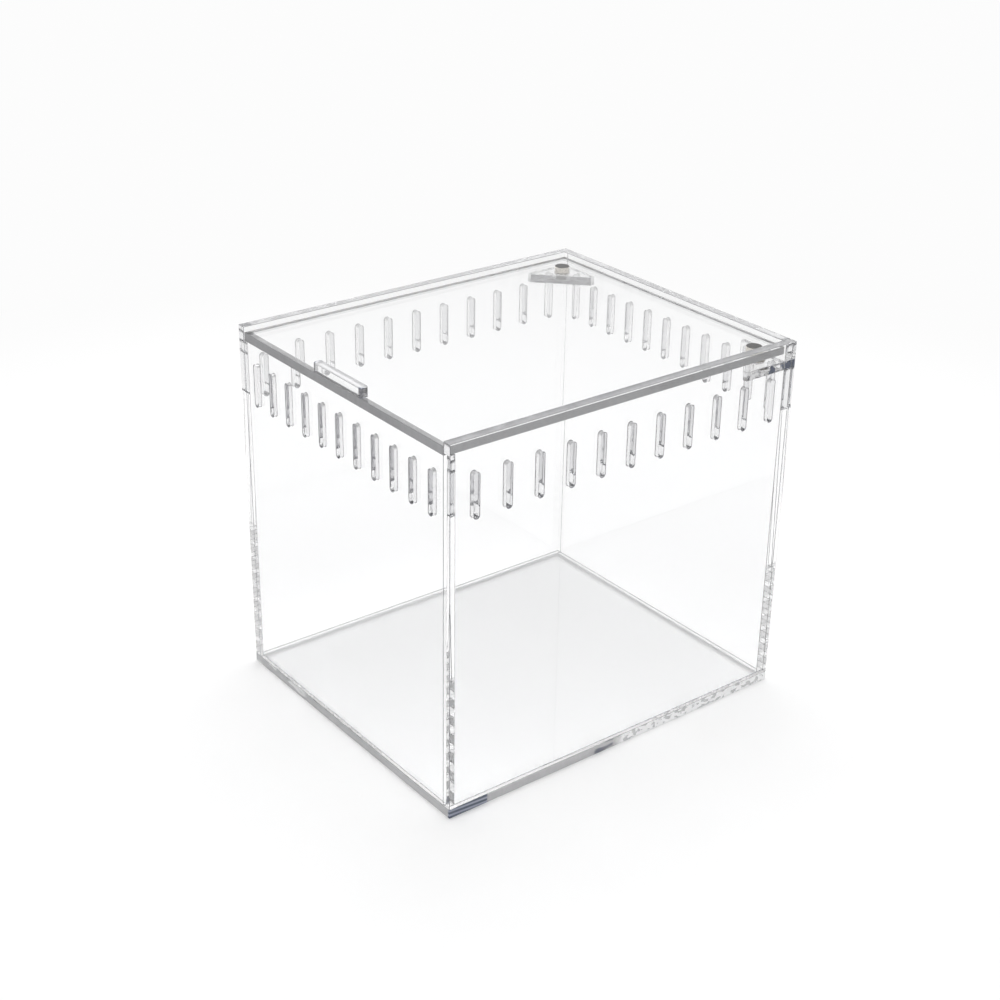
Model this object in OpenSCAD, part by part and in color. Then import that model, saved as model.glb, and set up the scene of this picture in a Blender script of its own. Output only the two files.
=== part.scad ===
// Clear plastic pet keeper: a five-sheet box with air slots and a drop-in lid held by corner magnets.
// Origin at the centre of the underside, +X along the long side, +Y towards the back, +Z up.

/* [Box] */
// outside length of the box, left to right
box_w = 130; // [110:1:160]
// outside depth of the box, front to back
box_d = 110; // [90:1:140]
// height from the table to the rim of the three tall walls
box_h = 120; // [95:1:160]
// thickness of the four wall sheets
wall_t = 3; // [2:0.5:4]
// thickness of the base sheet
base_t = 3; // [2:0.5:5]

/* [Lid] */
// thickness of the lid sheet, which lies on the low left wall
lid_t = 2.5; // [2:0.5:4]
// distance from the rim down to the top of the closed lid
lid_drop = 1.6; // [0.5:0.1:4]
// running gap between the lid and the front, back and right walls
lid_gap = 0.3; // [0.2:0.1:1]

/* [Grip] */
// length of the grip bar along the lid's left edge
grip_l = 25; // [15:1:40]
// width of the grip bar
grip_w = 3; // [2:0.5:6]
// height of the grip bar above the lid
grip_h = 3; // [1.5:0.5:4]

/* [Air slots] */
// width of one slot
slot_w = 2; // [1:0.5:3]
// height of one slot, end to end
slot_l = 14; // [8:1:20]
// distance from the rim down to the slots
slot_drop = 10.5; // [8:0.5:14]
// distance from the box's corner to the middle of the first slot
slot_edge = 9; // [8:0.5:14]
// number of slots in the front wall and in the back wall
slots_x = 11; // [3:1:13]
// number of slots in the left wall and in the right wall
slots_y = 11; // [3:1:12]

/* [Corner blocks] */
// length of a block's side along each wall
block_leg = 16; // [16:0.5:20]
// width of the blunt tip at each end of a block
block_tip = 1.5; // [1.5:0.5:3]
// thickness of a block
block_h = 3; // [2.5:0.5:6]

/* [Magnets] */
// diameter of the disc magnets
magnet_d = 5; // [4:0.5:5.5]
// thickness of the disc magnets
magnet_h = 2; // [1:0.5:2]
// distance from each inner wall face to a magnet's axis
magnet_in = 6; // [4.5:0.1:6]
// glue gap round a magnet in its pocket
magnet_fit = 0.1; // [0.05:0.05:0.2]
// gap between the two magnets of a pair when the lid is closed
magnet_gap = 0.2; // [0.1:0.1:0.5]

/* [Hidden] */
$fn = 64;
cut = 1;
half_w = box_w / 2;
half_d = box_d / 2;
inner_x = half_w - wall_t;
inner_y = half_d - wall_t;
tall_h = box_h - base_t;
side_d = box_d - 2 * wall_t;
lid_z = box_h - lid_drop - lid_t;
lid_w = half_w + inner_x - lid_gap;
lid_d = side_d - 2 * lid_gap;
low_h = lid_z - base_t;
block_top = lid_z - magnet_h - magnet_gap;
block_z = block_top - block_h;
magnet_x = inner_x - magnet_in;
magnet_y = inner_y - magnet_in;
pocket_d = magnet_d + 2 * magnet_fit;
slot_top = box_h - slot_drop;
slot_span = slot_l - slot_w;
pitch_x = (box_w - 2 * slot_edge) / (slots_x - 1);
pitch_y = (box_d - 2 * slot_edge) / (slots_y - 1);
clear_rgb = [0.86, 0.90, 0.91, 0.3];
magnet_rgb = [0.62, 0.58, 0.5];

// Outline of one upright slot with round ends, its top end at y = 0
module slot_outline() {
  translate([-slot_w / 2, -slot_w / 2 - slot_span])
    square([slot_w, slot_span]);
  translate([0, -slot_w / 2])
    circle(d = slot_w);
  translate([0, -slot_w / 2 - slot_span])
    circle(d = slot_w);
}

// Row of slots along X, centred on x = 0, through a sheet whose outer face is at y = 0
module slot_row(count, pitch) {
  for (i = [0 : count - 1])
    translate([(i - (count - 1) / 2) * pitch, wall_t + cut, slot_top])
      rotate([90, 0, 0])
        linear_extrude(height = wall_t + 2 * cut)
          slot_outline();
}

// Long wall with its outer face at y = 0, up to the rim
module long_wall() {
  difference() {
    translate([-half_w, 0, base_t])
      cube([box_w, wall_t, tall_h]);
    slot_row(slots_x, pitch_x);
  }
}

// Side wall with its outer face at y = 0, as it fits between the long walls
module side_wall(high) {
  difference() {
    translate([-side_d / 2, 0, base_t])
      cube([side_d, wall_t, high]);
    slot_row(slots_y, pitch_y);
  }
}

// Corner block in a corner whose walls lie on the X and Y axes, with its magnet pocket
module corner_block() {
  difference() {
    linear_extrude(height = block_h)
      polygon([
        [0, 0],
        [block_leg, 0],
        [block_leg, block_tip],
        [block_tip, block_leg],
        [0, block_leg]
      ]);
    translate([magnet_in, magnet_in, block_h - magnet_h])
      cylinder(d = pocket_d, h = magnet_h + cut);
  }
}

// Disc magnet over the middle of a block's pocket, on the front side or the back side
module magnet(side, z) {
  color(magnet_rgb)
    translate([magnet_x, side * magnet_y, z])
      cylinder(d = magnet_d, h = magnet_h);
}

module base_plate() {
  color(clear_rgb)
    translate([-half_w, -half_d, 0])
      cube([box_w, box_d, base_t]);
}

module front_wall() {
  color(clear_rgb)
    translate([0, -half_d, 0])
      long_wall();
}

module back_wall() {
  color(clear_rgb)
    translate([0, half_d, 0])
      rotate([0, 0, 180])
        long_wall();
}

module left_wall() {
  color(clear_rgb)
    translate([-half_w, 0, 0])
      rotate([0, 0, -90])
        side_wall(low_h);
}

module right_wall() {
  color(clear_rgb)
    translate([half_w, 0, 0])
      rotate([0, 0, 90])
        side_wall(tall_h);
}

module front_block() {
  color(clear_rgb)
    translate([inner_x, -inner_y, block_z])
      rotate([0, 0, 90])
        corner_block();
}

module back_block() {
  color(clear_rgb)
    translate([inner_x, inner_y, block_z])
      rotate([0, 0, 180])
        corner_block();
}

module front_box_magnet() {
  magnet(-1, block_top - magnet_h);
}

module back_box_magnet() {
  magnet(1, block_top - magnet_h);
}

module lid() {
  color(clear_rgb)
    translate([-half_w, -lid_d / 2, lid_z])
      cube([lid_w, lid_d, lid_t]);
}

module front_lid_magnet() {
  magnet(-1, lid_z - magnet_h);
}

module back_lid_magnet() {
  magnet(1, lid_z - magnet_h);
}

module lid_grip() {
  color(clear_rgb)
    translate([-half_w, -grip_l / 2, lid_z + lid_t])
      cube([grip_w, grip_l, grip_h]);
}

base_plate();
front_wall();
back_wall();
left_wall();
right_wall();
front_block();
back_block();
front_box_magnet();
back_box_magnet();
lid();
front_lid_magnet();
back_lid_magnet();
lid_grip();
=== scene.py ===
"""Looks of the clear plastic pet keeper: clear acrylic sheets, cemented joints, magnets and a pale studio."""
import math

import bmesh
import bpy
from mathutils import Matrix, Vector


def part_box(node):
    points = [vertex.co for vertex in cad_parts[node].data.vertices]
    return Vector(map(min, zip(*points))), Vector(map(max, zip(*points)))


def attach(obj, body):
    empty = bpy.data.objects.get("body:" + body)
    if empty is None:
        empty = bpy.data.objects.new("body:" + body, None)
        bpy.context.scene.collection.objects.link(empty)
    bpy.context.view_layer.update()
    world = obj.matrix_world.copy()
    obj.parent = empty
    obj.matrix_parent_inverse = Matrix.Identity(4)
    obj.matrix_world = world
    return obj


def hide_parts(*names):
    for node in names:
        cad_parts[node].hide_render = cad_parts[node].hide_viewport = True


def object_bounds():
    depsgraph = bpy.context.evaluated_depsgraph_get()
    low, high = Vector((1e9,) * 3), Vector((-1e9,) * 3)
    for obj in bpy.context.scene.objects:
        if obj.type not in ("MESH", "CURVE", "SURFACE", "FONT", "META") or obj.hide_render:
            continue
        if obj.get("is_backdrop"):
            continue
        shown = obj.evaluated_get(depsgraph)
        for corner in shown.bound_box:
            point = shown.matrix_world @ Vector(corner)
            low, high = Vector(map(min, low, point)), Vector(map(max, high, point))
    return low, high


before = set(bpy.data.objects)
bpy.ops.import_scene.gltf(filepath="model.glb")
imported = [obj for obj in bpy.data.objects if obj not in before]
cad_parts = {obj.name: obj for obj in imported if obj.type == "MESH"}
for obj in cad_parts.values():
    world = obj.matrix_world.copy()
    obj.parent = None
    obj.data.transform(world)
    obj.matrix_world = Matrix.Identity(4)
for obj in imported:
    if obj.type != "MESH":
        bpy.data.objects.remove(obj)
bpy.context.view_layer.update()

MM = 0.001
SINK = 0.012 * MM  # how far a cemented face goes into the sheet it is cemented to
LIFT = 0.02 * MM  # air left where the lid only lies on the left wall
EASE = 0.2 * MM  # strip beside a sheet's edge that no joint reaches
BEVEL = 0.15 * MM  # width of the eased edges themselves
NEAR = 0.03 * MM  # faces this near to a joint's plane belong to it
IOR = 1.49

BLOCK_TIP = 1.5 * MM  # blunt tips of the corner blocks
GLUE_GAP = 0.1 * MM  # glue round a magnet in its pocket
GRIP_ROUND = 1.1 * MM  # rounded upright edges of the grip
SLOTS = {"Slot Count": 11, "Slot Width": 2 * MM, "Slot Length": 14 * MM}
SLOT_DROP, SLOT_EDGE = 10.5 * MM, 9 * MM  # from the rim to the slots, from a corner to the first slot's middle

# ---------------------------------------------------------------- shader maths


class Value:
    """A shader socket that takes part in plain arithmetic."""

    def __init__(self, tree, socket):
        self.tree, self.socket = tree, socket

    def __add__(self, other):
        return self.tree.maths("ADD", self, other)

    __radd__ = __add__

    def __sub__(self, other):
        return self.tree.maths("SUBTRACT", self, other)

    def __rsub__(self, other):
        return self.tree.maths("SUBTRACT", other, self)

    def __mul__(self, other):
        return self.tree.maths("MULTIPLY", self, other)

    __rmul__ = __mul__

    def __truediv__(self, other):
        return self.tree.maths("DIVIDE", self, other)

    def __rtruediv__(self, other):
        return self.tree.maths("DIVIDE", other, self)

    def __pow__(self, other):
        return self.tree.maths("POWER", self, other)

    def above(self, low, high):
        """0 below low, 1 above high, and a smooth step between."""
        return self.tree.value("ShaderNodeMapRange", {"interpolation_type": "SMOOTHSTEP"},
                               {"Value": self, "From Min": low, "From Max": high}, "Result")

    def within(self, low, high, soft=0.3):
        """1 between low and high and 0 outside, with soft steps."""
        return self.above(low - soft, low + soft) * (1 - self.above(high - soft, high + soft))

    def colour(self, dark, light):
        """The colour between dark and light at this value."""
        return self.tree.blend(self, dark, light)


class Tree:
    """The node tree of a material or a world."""

    def __init__(self, owner):
        owner.use_nodes = True
        self.nodes, self.links = owner.node_tree.nodes, owner.node_tree.links
        self.nodes.clear()

    def add(self, kind, settings=None, inputs=None):
        """A new node, with its settings first and then its inputs: values, sockets or plain numbers."""
        node = self.nodes.new(kind)
        for name, setting in (settings or {}).items():
            setattr(node, name, setting)
        for name, given in (inputs or {}).items():
            if isinstance(given, Value):
                given = given.socket
            if isinstance(given, bpy.types.NodeSocket):
                self.links.new(given, node.inputs[name])
            else:
                node.inputs[name].default_value = given
        return node

    def value(self, kind, settings=None, inputs=None, output=0):
        return Value(self, self.add(kind, settings, inputs).outputs[output])

    def maths(self, operation, *operands):
        return self.value("ShaderNodeMath", {"operation": operation}, dict(enumerate(operands)))

    def blend(self, share, first, second):
        """The colour between two others, each a tuple or a value."""
        first, second = ((*c, 1) if isinstance(c, tuple) else c for c in (first, second))
        return self.value("ShaderNodeMix", {"data_type": "RGBA"}, {0: share, 6: first, 7: second}, 2)

    def place(self, stretch=(1, 1, 1)):
        """Object coordinates, stretched for streaks."""
        at = self.add("ShaderNodeTexCoord").outputs["Object"]
        return self.add("ShaderNodeMapping", {}, {"Vector": at, "Scale": stretch}).outputs[0]

    def axes(self):
        """Object coordinates in millimetres, as three values."""
        at = self.add("ShaderNodeTexCoord").outputs["Object"]
        return [self.value("ShaderNodeSeparateXYZ", {}, {0: at}, axis) / MM for axis in "XYZ"]

    def noise(self, scale, stretch=(1, 1, 1), detail=2.0):
        return self.value("ShaderNodeTexNoise", {}, {"Vector": self.place(stretch), "Scale": scale,
                                                     "Detail": detail})

    def shader(self, inputs):
        return self.add("ShaderNodeBsdfPrincipled", {}, inputs).outputs[0]

    def acrylic(self, colour, roughness):
        """Clear cast acrylic."""
        return self.shader({"Base Color": colour, "Roughness": roughness, "Transmission Weight": 1.0,
                            "IOR": IOR})

    def milky(self, colour):
        """The frosted share of a cut face."""
        return self.shader({"Base Color": colour, "Roughness": 0.35})

    def mixed(self, share, first, second):
        """The shader between two others."""
        return self.add("ShaderNodeMixShader", {}, {0: share, 1: first, 2: second}).outputs[0]

    def surface(self, shader, output="ShaderNodeOutputMaterial"):
        self.add(output, {}, {"Surface": shader})


def material(name):
    made = bpy.data.materials.new(name)
    return made, Tree(made)


# ---------------------------------------------------------------- finishes
# Places are in millimetres in the shared frame: the box stands on z = 0, and its front is at y = -55.


def polished_sheet():
    """The sheets' polished faces, with a little dust and a few smudges."""
    made, t = material("acrylic_polished_sheet")
    smudge = t.noise(38.0, detail=3.0).above(0.52, 0.75)
    dust = t.noise(2600.0, detail=0.0).above(0.74, 0.8)
    t.surface(t.acrylic(dust.colour((0.972, 0.973, 0.975), (0.95, 0.955, 0.96)), smudge * 0.003))
    return made


def sawn(t, near, lighter):
    """A face finely frosted by the saw, as its milky colour, its clear part and the milky share.

    near is 1 where it is grey with painted shade and 0 where painted light makes it pale and clearer. lighter
    lifts the grey as painted light.
    """
    streak = t.noise(900.0, (1, 1, 0.12))
    patch = t.noise(45.0)
    # Painted shade darkens the clear part on the grey sides, and painted light clears it on the pale ones.
    clear = t.acrylic((streak * 0.4 + (1 - near) * 0.6).colour((0.60, 0.605, 0.62), (0.94, 0.945, 0.95)),
                      0.03 + streak * 0.05)
    grey = (streak * 0.4 + patch * 0.3 + lighter).colour((0.25, 0.25, 0.26), (0.42, 0.42, 0.43))
    pale = streak.colour((0.60, 0.60, 0.61), (0.70, 0.70, 0.71))
    return t.blend(near, pale, grey), clear, near * 0.07 + 0.55 + streak * 0.06


def lid_edge():
    """The lid's sawn edges, grey all round, and lighter in front where painted light lifts the grey."""
    made, t = material("acrylic_lid_edge")
    y = t.axes()[1]
    # Painted light lifts the grey of the lid's front edge.
    tone, clear, share = sawn(t, 1.0, (1 - y.above(-51.6, -51.5)) * 0.55)
    t.surface(t.mixed(share, clear, t.milky(tone)))
    return made


def wall_edge():
    """The walls' sawn edges: painted shade makes the rims at the front and left grey and the eased edges dark
    lines, and painted light makes the rims behind pale and the front wall's lighter.
    """
    made, t = material("acrylic_rim")
    x, y, z = t.axes()
    # Painted shade: the rims of the front and left walls are grey and those behind pale, and painted light
    # lifts the front wall's grey.
    near = 1 - y.above(-51.2, -50.5) * x.above(-62.2, -61.5)
    tone, clear, share = sawn(t, near, (1 - y.above(-55.0, -52.0)) * 0.9 - 0.15)
    # Painted shade: the eased faces below the rim are dark lines, except on the left wall's top under the lid
    # and at the top of the front and left rims.
    below_rim = 1 - z.above(119.95, 119.99)
    under_lid = z.within(115.8, 115.95, 0.02)
    near_rim = near * z.above(119.0, 119.5)
    tone = t.blend(below_rim * (1 - under_lid) * (1 - near_rim), tone, (0.16, 0.16, 0.18))
    t.surface(t.mixed(share, clear, t.milky(tone)))
    return made


def base_edge():
    """The base's cut edges: even grey, striped near the front left corner, and bubbly to the right; painted
    shade makes the front and left edges milkier and darker than the clearer ones behind.
    """
    made, t = material("acrylic_base_edge")
    x, y, z = t.axes()
    streak = t.noise(900.0, (1, 1, 0.12))
    patch = t.noise(45.0)
    front = 1 - y.above(-54.6, -54.2)
    stripe = t.maths("SINE", z * 4.4 + x * 0.25).above(-0.3, 0.5)
    corner = front * (1 - x.above(-51.2, -51.0))
    seam = front * x.within(-9.5, -2.0, 0.5) * t.noise(300.0, (0.25, 1, 1.6)).above(0.45, 0.55)
    foam = t.noise(1100.0, (0.55, 1, 1.0), 1.0).above(0.40, 0.48)
    bubble = front * x.above(-3.0, 3.0) * (foam * 0.6 + 0.4)
    spot = t.noise(330.0, (1, 0.4, 1.3), 1.0).above(0.56, 0.62)
    blotch = (1 - x.above(-64.6, -64.2)) * y.above(22.0, 26.0) * spot
    grey = (streak * 0.5 + patch * 0.4).colour((0.30, 0.30, 0.31), (0.42, 0.42, 0.43))
    dark = stripe.colour((0.02, 0.035, 0.08), (0.26, 0.29, 0.38))
    tone = t.blend(corner, grey, dark)
    tone = t.blend(seam, tone, (0.04, 0.05, 0.09))
    tone = t.blend(bubble, tone, (0.93, 0.93, 0.94))
    tone = t.blend(blotch, tone, (0.75, 0.75, 0.76))
    # Painted shade: the front and left edges get a darker clear part and more milky grey than the back and
    # right ones.
    far_sides_unshaded = x.above(-64.6, -64.2) * (1 - front)
    clear = t.acrylic(far_sides_unshaded.colour((0.80, 0.805, 0.82), (0.98, 0.98, 0.985)), 0.03)
    share = 0.66 - far_sides_unshaded * 0.56 + corner * 0.25 + seam * 0.2 + bubble * 0.3
    t.surface(t.mixed(share, clear, t.milky(tone)))
    return made


def sanded_edge():
    """The small parts' edges, sanded to a pale satin, with a painted dark-blue refraction at the grip's ends.
    """
    made, t = material("acrylic_sanded_edge")
    x, y = t.axes()[:2]
    streak = t.noise(900.0)
    # Painted dark-blue refraction at the grip's ends.
    end = (1 - y.within(-11.4, 11.4, 0.4)) * (1 - x.above(-60.0, -55.0)) * t.noise(500.0).above(0.40, 0.60)
    tone = t.blend(end, streak.colour((0.74, 0.74, 0.76), (0.86, 0.86, 0.87)), (0.10, 0.13, 0.24))
    clear = t.acrylic((0.97, 0.975, 0.98, 1), 0.02)
    t.surface(t.mixed(0.42 + streak * 0.1, clear, t.milky(tone)))
    return made


def polished_edge():
    """The walls' upright ends, flame polished to full clarity."""
    made, t = material("acrylic_polished_edge")
    streak = t.noise(500.0, (1, 1, 0.1), 1.0)
    t.surface(t.acrylic(streak.colour((0.985, 0.985, 0.99), (1.0, 1.0, 1.0)), streak * 0.02))
    return made


def slot_edge():
    """The air slots' milled sides, a little frosted, with painted shade where the slot's round tips turn away.
    """
    made, t = material("acrylic_slot_edge")
    streak = t.noise(1500.0, (1, 1, 0.1), 1.0)
    z = t.axes()[2]
    # Painted shade at the slot's round tips: darker and milkier.
    tip_shade = z.above(108.75, 109.0) + (1 - z.above(95.9, 96.1))
    clear = t.acrylic(streak.colour((0.985, 0.985, 0.995), (1.0, 1.0, 1.0)), streak * 0.04)
    tone = t.blend(tip_shade * 0.8, streak.colour((0.46, 0.46, 0.51), (0.62, 0.62, 0.66)), (0.05, 0.05, 0.07))
    t.surface(t.mixed(0.14 + streak * 0.1 + tip_shade * 0.28, clear, t.milky(tone)))
    return made


def cemented_joint():
    """A solvent weld: light goes straight through, but for bubbles, and a dark glossy patch of painted shade
    where the front corner block is cemented to the front wall.
    """
    made, t = material("acrylic_cemented_joint")
    x, y, z = t.axes()
    run = t.noise(120.0)
    bubble = t.value("ShaderNodeTexVoronoi", {}, {"Vector": t.place(), "Scale": 900.0}, "Distance")
    front = 1 - y.above(-51.5, -51.0)
    seam = front * x.above(12.0, 16.0) * (1 - z.above(12.0, 30.0))
    dry = (1 - bubble.above(0.16, 0.24)) * run.above(0.5, 0.62) * seam
    # Painted shade: a dark glossy patch on the joint by the front corner block.
    painted_shade_patch = front * x.above(54.5, 56.0) * z.within(110.9, 113.4) * t.noise(330.0).above(0.44, 0.50)
    gap = t.acrylic((0.93, 0.94, 0.96, 1), 0.3 + run * 0.2)
    wet = t.mixed(dry, t.add("ShaderNodeBsdfTransparent").outputs[0], gap)
    # The dark glossy shader of the painted shade patch.
    painted_shade_shader = t.shader({"Base Color": run.colour((0.03, 0.045, 0.09), (0.10, 0.13, 0.22)), "Roughness": 0.08})
    t.surface(t.mixed(painted_shade_patch, wet, painted_shade_shader))
    return made


def dark_glue():
    """The glue between a magnet and the lid."""
    made, t = material("dark_glue")
    t.surface(t.shader({"Base Color": t.noise(900.0).colour((0.015, 0.014, 0.013), (0.04, 0.037, 0.033)),
                        "Roughness": 0.6, "Specular IOR Level": 0.1}))
    return made


def nickel_plate():
    """The magnets' plating, dulled in places."""
    made, t = material("nickel_plate")
    mark = t.noise(1400.0)
    t.surface(t.shader({"Base Color": mark.colour((0.46, 0.42, 0.36), (0.58, 0.54, 0.47)),
                        "Metallic": 1.0, "Roughness": 0.22 + mark * 0.12}))
    return made


SHEET_FINISHES = [polished_sheet(), wall_edge(), slot_edge(), cemented_joint(), polished_edge(), base_edge(),
                  lid_edge(), sanded_edge()]
POLISHED, RIM, SLOT, JOINT, END, BASE_CUT, LID_CUT, SANDED = range(len(SHEET_FINISHES))
MAGNET_FINISHES = [nickel_plate(), dark_glue()]


# ---------------------------------------------------------------- sheets


def slotted_sheet_tree():
    """Geometry nodes for one upright sheet with a row of air slots, its outer face at y = 0."""
    tree = bpy.data.node_groups.new("slotted_sheet", "GeometryNodeTree")
    for name, kind in (("Length", "Float"), ("Bottom", "Float"), ("Top", "Float"), ("Thickness", "Float"),
                       ("Slot Count", "Int"), ("Slot Pitch", "Float"), ("Slot Width", "Float"),
                       ("Slot Length", "Float"), ("Slot Top", "Float")):
        tree.interface.new_socket(name=name, in_out="INPUT", socket_type="NodeSocket" + kind)
    tree.interface.new_socket(name="Geometry", in_out="OUTPUT", socket_type="NodeSocketGeometry")
    given = tree.nodes.new("NodeGroupInput").outputs

    def node(kind, settings=None, inputs=None):
        made = tree.nodes.new(kind)
        for name, setting in (settings or {}).items():
            setattr(made, name, setting)
        for name, value in (inputs or {}).items():
            if isinstance(value, bpy.types.NodeSocket):
                tree.links.new(value, made.inputs[name])
            else:
                made.inputs[name].default_value = value
        return made

    def maths(operation, *values):
        return node("ShaderNodeMath", {"operation": operation}, dict(enumerate(values))).outputs[0]

    def vector(x, y, z):
        return node("ShaderNodeCombineXYZ", {}, {"X": x, "Y": y, "Z": z}).outputs[0]

    high = maths("SUBTRACT", given["Top"], given["Bottom"])
    slab = node("GeometryNodeMeshCube", {}, {"Size": vector(given["Length"], given["Thickness"], high)})
    middle = maths("MULTIPLY", maths("ADD", given["Top"], given["Bottom"]), 0.5)
    slab = node("GeometryNodeTransform", {}, {
        "Geometry": slab.outputs["Mesh"],
        "Translation": vector(0.0, maths("MULTIPLY", given["Thickness"], 0.5), middle)})
    outline = node("GeometryNodeCurvePrimitiveQuadrilateral", {}, {
        "Width": given["Slot Width"], "Height": given["Slot Length"]})
    outline = node("GeometryNodeFilletCurve", {"mode": "POLY"}, {
        "Curve": outline.outputs[0], "Count": 10, "Radius": maths("MULTIPLY", given["Slot Width"], 0.4999),
        "Limit Radius": True})
    deep = maths("MULTIPLY", given["Thickness"], 2.0)
    path = node("GeometryNodeCurvePrimitiveLine", {}, {
        "Start": vector(0.0, maths("MULTIPLY", deep, -0.25), 0.0), "End": vector(0.0, deep, 0.0)})
    cutter = node("GeometryNodeCurveToMesh", {}, {
        "Curve": path.outputs[0], "Profile Curve": outline.outputs[0], "Fill Caps": True})
    first = maths("MULTIPLY", maths("MULTIPLY", maths("SUBTRACT", given["Slot Count"], 1.0),
                                    given["Slot Pitch"]), -0.5)
    height = maths("SUBTRACT", given["Slot Top"], maths("MULTIPLY", given["Slot Length"], 0.5))
    row = node("GeometryNodeMeshLine", {}, {
        "Count": given["Slot Count"], "Start Location": vector(first, 0.0, height),
        "Offset": vector(given["Slot Pitch"], 0.0, 0.0)})
    slots = node("GeometryNodeInstanceOnPoints", {}, {
        "Points": row.outputs[0], "Instance": cutter.outputs[0]})
    slots = node("GeometryNodeRealizeInstances", {}, {"Geometry": slots.outputs[0]})
    cut = node("GeometryNodeMeshBoolean", {"operation": "DIFFERENCE", "solver": "EXACT"}, {
        "Mesh 1": slab.outputs[0], "Mesh 2": slots.outputs[0]})
    whole = node("GeometryNodeRealizeInstances", {}, {"Geometry": cut.outputs["Mesh"]})
    done = node("GeometryNodeSetMaterial", {}, {
        "Geometry": whole.outputs[0], "Material": SHEET_FINISHES[POLISHED]})
    tree.links.new(done.outputs[0], tree.nodes.new("NodeGroupOutput").inputs[0])
    return tree


def mesh_object(name, data):
    made = bpy.data.objects.new(name, data)
    bpy.context.scene.collection.objects.link(made)
    return made


def slotted_sheet(name, tree, sizes, turn):
    """One slotted wall as a plain mesh, turned to its place."""
    maker = mesh_object(name + "_maker", bpy.data.meshes.new(name + "_maker"))
    modifier = maker.modifiers.new("slots", "NODES")
    modifier.node_group = tree
    for item in tree.interface.items_tree:
        if item.in_out == "INPUT":
            modifier[item.identifier] = sizes[item.name]
    graph = bpy.context.evaluated_depsgraph_get()
    data = bpy.data.meshes.new_from_object(maker.evaluated_get(graph))
    bpy.data.objects.remove(maker)
    data.transform(turn)
    data.name = name
    return mesh_object(name, data)


def prism(name, outline, low, high):
    """An upright prism on a plan outline that runs anticlockwise."""
    shape = bmesh.new()
    rings = [[shape.verts.new((x, y, z)) for x, y in outline] for z in (low, high)]
    shape.faces.new(rings[0][::-1])
    shape.faces.new(rings[1])
    for i in range(len(outline)):
        j = (i + 1) % len(outline)
        shape.faces.new((rings[0][i], rings[0][j], rings[1][j], rings[1][i]))
    bmesh.ops.recalc_face_normals(shape, faces=shape.faces)
    data = bpy.data.meshes.new(name)
    shape.to_mesh(data)
    shape.free()
    return mesh_object(name, data)


def block(name, low, high):
    """A square-edged block between two corners."""
    outline = [(low[0], low[1]), (high[0], low[1]), (high[0], high[1]), (low[0], high[1])]
    return prism(name, outline, low[2], high[2])


def finish_sheet(piece, thin, cut=RIM):
    """Gives each face its finish and eases the sharp edges. thin is the axis across the sheet, and cut is
    the finish of its sawn edges.

    Where two sheets are cemented, both have a face with the joint's finish, which lets light straight
    through. Such a face is cut out of a larger one, short of the eased edge of the sheet it meets.
    """
    data = piece.data
    data.materials.clear()
    for finish in SHEET_FINISHES:
        data.materials.append(finish)
    low = [min(v.co[i] for v in data.vertices) for i in range(3)]
    high = [max(v.co[i] for v in data.vertices) for i in range(3)]
    shape = bmesh.new()
    shape.from_mesh(data)
    bmesh.ops.remove_doubles(shape, verts=shape.verts, dist=1e-7)
    bmesh.ops.dissolve_limit(shape, angle_limit=math.radians(0.5), verts=shape.verts, edges=shape.edges)
    met = [c for c in CONTACTS if min(abs(low[c[0]] - c[1]), abs(high[c[0]] - c[1])) < NEAR
           and all(start < high[side] and end > low[side] for side, (start, end) in c[2].items())]
    cuts = {(side, round(place, 7)) for _, _, ranges in met for side, (start, end) in ranges.items()
            for place in (start + EASE, end - EASE) if low[side] + 2 * EASE < place < high[side] - 2 * EASE}
    for side, place in sorted(cuts):
        across = [float(i == side) for i in range(3)]
        bmesh.ops.bisect_plane(shape, geom=shape.verts[:] + shape.edges[:] + shape.faces[:], dist=1e-7,
                               plane_co=[place * n for n in across], plane_no=across)
    for face in shape.faces:
        middle = face.calc_center_median()
        axis = max(range(3), key=lambda i: abs(face.normal[i]))
        square = abs(face.normal[axis]) > 0.999
        finish = SLOT
        if square and axis == thin:
            finish = POLISHED
        elif square and min(abs(middle[axis] - low[axis]), abs(middle[axis] - high[axis])) < 1e-6:
            finish = cut if thin == 2 or axis == 2 else END
        for joint_axis, at, ranges in met:
            if square and axis == joint_axis and abs(middle[axis] - at) < NEAR:
                if all(start < middle[side] < end for side, (start, end) in ranges.items()):
                    finish = JOINT
        face.material_index = finish
        face.smooth = False
    shape.to_mesh(data)
    shape.free()
    bevel = piece.modifiers.new("ease", "BEVEL")
    bevel.width, bevel.segments, bevel.use_clamp_overlap = BEVEL, 2, False
    bevel.limit_method, bevel.angle_limit = "ANGLE", math.radians(50)
    bevel.material = cut
    return piece


def stand_for(piece, node, body):
    """Lets the piece move with its body and take the CAD node's place."""
    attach(piece, body)
    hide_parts(node)
    return piece


def sunk(node, **moved):
    """A node's corners, with named sides moved outwards: x0, x1, y0, y1, z0 and z1."""
    low, high = (list(c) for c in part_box(node))
    for side, by in moved.items():
        i = "xyz".index(side[0])
        if side[1] == "0":
            low[i] -= by
        else:
            high[i] += by
    return low, high


base_low, base_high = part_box("base_plate")
lid_low, lid_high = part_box("lid")
outer_x, outer_y = base_high[0], base_high[1]
wall_low, wall_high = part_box("front_wall")
wall_t, rim = wall_high[1] - wall_low[1], wall_high[2]
inner_x, inner_y = outer_x - wall_t, outer_y - wall_t

near_wall, far_wall = (-outer_y, -inner_y), (inner_y, outer_y)
left_strip, right_strip = (-outer_x, -inner_x), (inner_x, outer_x)
block_low, block_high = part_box("back_block")
grip_low, grip_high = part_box("lid_grip")
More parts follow.
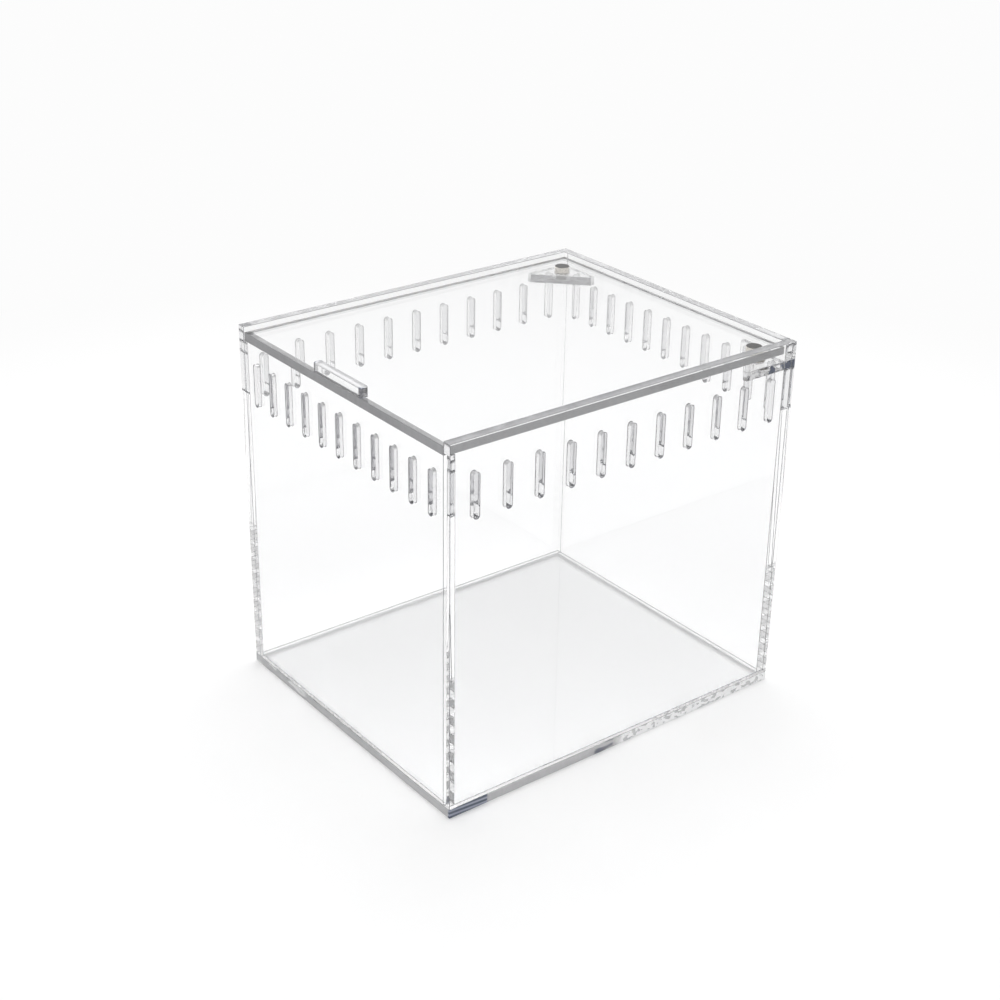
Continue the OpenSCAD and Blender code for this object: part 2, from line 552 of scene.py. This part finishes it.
# Each joint: the axis across it, its place on that axis, and its ranges along the other two.
CONTACTS = [(2, base_high[2], {0: (-outer_x, outer_x), 1: near_wall}),
            (2, base_high[2], {0: (-outer_x, outer_x), 1: far_wall}),
            (2, base_high[2], {0: left_strip, 1: (-inner_y, inner_y)}),
            (2, base_high[2], {0: right_strip, 1: (-inner_y, inner_y)}),
            (2, lid_high[2], {0: (grip_low[0], grip_high[0]), 1: (grip_low[1], grip_high[1])})]
block_span = (block_low[2], block_high[2])
for sign in (-1, 1):
    CONTACTS += [
        (1, sign * inner_y, {0: left_strip, 2: (base_high[2], lid_low[2])}),
        (1, sign * inner_y, {0: right_strip, 2: (base_high[2], rim)}),
        (1, sign * inner_y, {0: (block_low[0], inner_x), 2: block_span}),
        (0, inner_x, {1: tuple(sorted((sign * block_low[1], sign * inner_y))), 2: block_span})]

base = block("base_sheet", *sunk("base_plate"))
stand_for(finish_sheet(base, 2, BASE_CUT), "base_plate", "box")

sheet_tree = slotted_sheet_tree()
shared = {"Bottom": base_high[2] - SINK, "Thickness": wall_t, "Slot Top": rim - SLOT_DROP, **SLOTS}
steps = SLOTS["Slot Count"] - 1
long_sizes = {**shared, "Length": 2 * outer_x, "Top": rim, "Slot Pitch": 2 * (outer_x - SLOT_EDGE) / steps}
side_sizes = {**shared, "Length": 2 * (inner_y + SINK), "Slot Pitch": 2 * (outer_y - SLOT_EDGE) / steps}
WALLS = {
    "front": (long_sizes, Matrix.Translation((0, -outer_y, 0)), 1),
    "back": (long_sizes, Matrix.Translation((0, outer_y, 0)) @ Matrix.Rotation(math.pi, 4, "Z"), 1),
    "left": ({**side_sizes, "Top": lid_low[2] - LIFT},
             Matrix.Translation((-outer_x, 0, 0)) @ Matrix.Rotation(-math.pi / 2, 4, "Z"), 0),
    "right": ({**side_sizes, "Top": rim},
              Matrix.Translation((outer_x, 0, 0)) @ Matrix.Rotation(math.pi / 2, 4, "Z"), 0),
}
for side, (sizes, turn, thin) in WALLS.items():
    wall = slotted_sheet(side + "_sheet", sheet_tree, sizes, turn)
    stand_for(finish_sheet(wall, thin), side + "_wall", "box")

for side, sign in (("front", -1), ("back", 1)):
    low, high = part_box(side + "_block")
    wall_x, wall_y = inner_x + SINK, sign * (inner_y + SINK)
    free_x, free_y = low[0], (high[1] if sign < 0 else low[1])
    outline = [(wall_x, wall_y), (wall_x, free_y), (wall_x - BLOCK_TIP, free_y),
               (free_x, wall_y - sign * BLOCK_TIP), (free_x, wall_y)]
    if sign < 0:
        outline.reverse()
    corner = prism(side + "_corner_block", outline, low[2], high[2])
    pocket_low, pocket_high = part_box(side + "_box_magnet")
    centre = (Vector(pocket_low) + Vector(pocket_high)) / 2
    radius = (pocket_high[0] - pocket_low[0]) / 2 + GLUE_GAP
    deep = 2 * (pocket_high[2] - pocket_low[2])
    drill = bmesh.new()
    bmesh.ops.create_cone(drill, cap_ends=True, segments=64, radius1=radius, radius2=radius, depth=deep)
    drill_data = bpy.data.meshes.new("pocket_drill")
    bmesh.ops.translate(drill, verts=drill.verts, vec=(centre.x, centre.y, pocket_low[2] - LIFT + deep / 2))
    drill.to_mesh(drill_data)
    drill.free()
    drill_tool = mesh_object("pocket_drill", drill_data)
    cut = corner.modifiers.new("pocket", "BOOLEAN")
    cut.object, cut.operation, cut.solver = drill_tool, "DIFFERENCE", "EXACT"
    graph = bpy.context.evaluated_depsgraph_get()
    done = bpy.data.meshes.new_from_object(corner.evaluated_get(graph))
    corner.modifiers.clear()
    corner.data = done
    bpy.data.objects.remove(drill_tool)
    stand_for(finish_sheet(corner, 2, SANDED), side + "_block", "box")

lid = block("lid_sheet", *sunk("lid"))
stand_for(finish_sheet(lid, 2, LID_CUT), "lid", "lid")
grip = block("lid_grip_bar", *sunk("lid_grip", z0=SINK))
rounded = bmesh.new()
rounded.from_mesh(grip.data)
bmesh.ops.bevel(rounded, geom=[e for e in rounded.edges if abs(e.verts[0].co.z - e.verts[1].co.z) > MM],
                offset=GRIP_ROUND, segments=5, profile=0.5, affect="EDGES")
rounded.to_mesh(grip.data)
rounded.free()
stand_for(finish_sheet(grip, 0, SANDED), "lid_grip", "lid")

for node, body in (("front_box_magnet", "box"), ("back_box_magnet", "box"),
                   ("front_lid_magnet", "lid"), ("back_lid_magnet", "lid")):
    low, high = (Vector(c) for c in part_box(node))
    centre, radius = (low + high) / 2, (high.x - low.x) / 2
    top = high.z + (SINK if body == "lid" else 0)
    disc = bmesh.new()
    bmesh.ops.create_cone(disc, cap_ends=True, segments=64, radius1=radius, radius2=radius, depth=top - low.z)
    bmesh.ops.translate(disc, verts=disc.verts, vec=(centre.x, centre.y, (top + low.z) / 2))
    data = bpy.data.meshes.new(node + "_disc")
    disc.to_mesh(data)
    disc.free()
    for finish in MAGNET_FINISHES:
        data.materials.append(finish)
    for face in data.polygons:
        face.material_index = int(body == "lid" and face.normal.z > 0.9)
    piece = mesh_object(node + "_disc", data)
    bevel = piece.modifiers.new("ease", "BEVEL")
    bevel.width, bevel.segments = BEVEL, 3
    bevel.limit_method, bevel.angle_limit = "ANGLE", math.radians(50)
    stand_for(piece, node, body)


# ---------------------------------------------------------------- studio


def floor_surface():
    """White paper. It keeps the box's shadow near by, and further out it is plain white to the camera."""
    made, t = material("studio_floor")
    paper = t.shader({"Base Color": t.noise(3.0).colour((0.955, 0.955, 0.955), (0.965, 0.965, 0.965)),
                      "Roughness": 0.9, "Specular IOR Level": 0.0})
    x, y = t.axes()[:2]
    out = (x * x + y * y) ** 0.5
    ray = t.add("ShaderNodeLightPath").outputs
    seen = t.maths("MAXIMUM", ray["Is Camera Ray"], t.maths("MAXIMUM", ray["Is Transmission Ray"],
                                                            ray["Is Glossy Ray"]))
    white = t.add("ShaderNodeEmission", {}, {"Color": (1, 1, 1, 1), "Strength": 0.975}).outputs[0]
    t.surface(t.mixed(out.above(180.0, 420.0) * seen, paper, white))
    return made


floor_data = bpy.data.meshes.new("studio_floor")
FLOOR_RADIUS, FLOOR_Z, FLOOR_CORNERS = 4.0, -0.05 * MM, 96
floor_rim = [(FLOOR_RADIUS * math.cos(math.tau * i / FLOOR_CORNERS),
              FLOOR_RADIUS * math.sin(math.tau * i / FLOOR_CORNERS), FLOOR_Z) for i in range(FLOOR_CORNERS)]
floor_data.from_pydata(floor_rim, [], [tuple(range(FLOOR_CORNERS))])
floor_data.materials.append(floor_surface())
floor = mesh_object("studio_floor", floor_data)
floor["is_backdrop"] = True


AHEAD = (0.615, 0.788, 0.0)  # the way the camera looks, level


def studio_world():
    """White to the camera. The acrylic sees and mirrors a softer room, bright ahead and straight above."""
    world = bpy.data.worlds.new("studio")
    bpy.context.scene.world = world
    t = Tree(world)
    way = t.add("ShaderNodeTexCoord").outputs["Generated"]
    up = t.value("ShaderNodeSeparateXYZ", {}, {0: way}, "Z")
    ahead = t.value("ShaderNodeVectorMath", {"operation": "DOT_PRODUCT"}, {0: way, 1: AHEAD}, "Value")
    walls = (ahead.above(-0.35, 0.55) * 0.2 + 0.3) * (1 - up.above(0.30, 0.70) * 0.30)
    room = walls + 0.49 + up.above(0.90, 0.92) * 0.85
    ray = t.add("ShaderNodeLightPath").outputs
    through = t.maths("MAXIMUM", ray["Is Glossy Ray"], ray["Is Transmission Ray"])
    camera = Value(t, ray["Is Camera Ray"])
    strength = camera * 0.98 + (1 - camera) * (through * room + (1 - through) * 0.78)
    light = t.add("ShaderNodeBackground", {}, {"Color": (1, 1, 1, 1), "Strength": strength})
    t.surface(light.outputs[0], "ShaderNodeOutputWorld")


studio_world()


def softbox(name, place, aim, size, power):
    """A round lamp that the camera doesn't see."""
    light = bpy.data.lights.new(name, "AREA")
    light.shape, light.size, light.energy = "DISK", size, power
    made = bpy.data.objects.new(name, light)
    bpy.context.scene.collection.objects.link(made)
    made.location = place
    made.rotation_mode = "QUATERNION"
    made.rotation_quaternion = (Vector(aim) - Vector(place)).to_track_quat("-Z", "Y")
    made.visible_camera = False
    return made


softbox("overhead_softbox", (0.15, 0.25, 1.3), (0, 0, 0.05), 0.9, 6.6)


def studio_camera():
    """The photograph's camera, fitted to the box's corners."""
    focal_px, picture_px, sensor_mm = 1754.0, 1000.0, 36.0
    turn, down, roll = (math.radians(a) for a in (-37.98, 26.20, 0.93))
    back = Vector((math.sin(turn) * math.cos(down), -math.cos(turn) * math.cos(down), math.sin(down)))
    right = Vector((0, 0, 1)).cross(back).normalized()
    above = back.cross(right)
    tilted = math.cos(roll) * right + math.sin(roll) * above
    upright = math.cos(roll) * above - math.sin(roll) * right
    data = bpy.data.cameras.new("camera")
    data.sensor_width, data.lens = sensor_mm, focal_px * sensor_mm / picture_px
    data.clip_start, data.clip_end = 0.02, 50.0
    made = bpy.data.objects.new("camera", data)
    bpy.context.scene.collection.objects.link(made)
    place = Matrix((tilted, upright, back)).transposed().to_4x4()
    place.translation = Vector((-0.312, -0.393, 0.310))
    made.matrix_world = place
    bpy.context.scene.camera = made


studio_camera()

scene = bpy.context.scene
scene.view_settings.view_transform = "Standard"
scene.cycles.use_denoising = True
scene.cycles.max_bounces = 128
scene.cycles.transmission_bounces = 128
scene.cycles.glossy_bounces = 128
scene.cycles.transparent_max_bounces = 96
scene.cycles.diffuse_bounces = 4
scene.cycles.caustics_refractive = True
scene.cycles.caustics_reflective = True
scene.cycles.blur_glossy = 0.2

low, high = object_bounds()
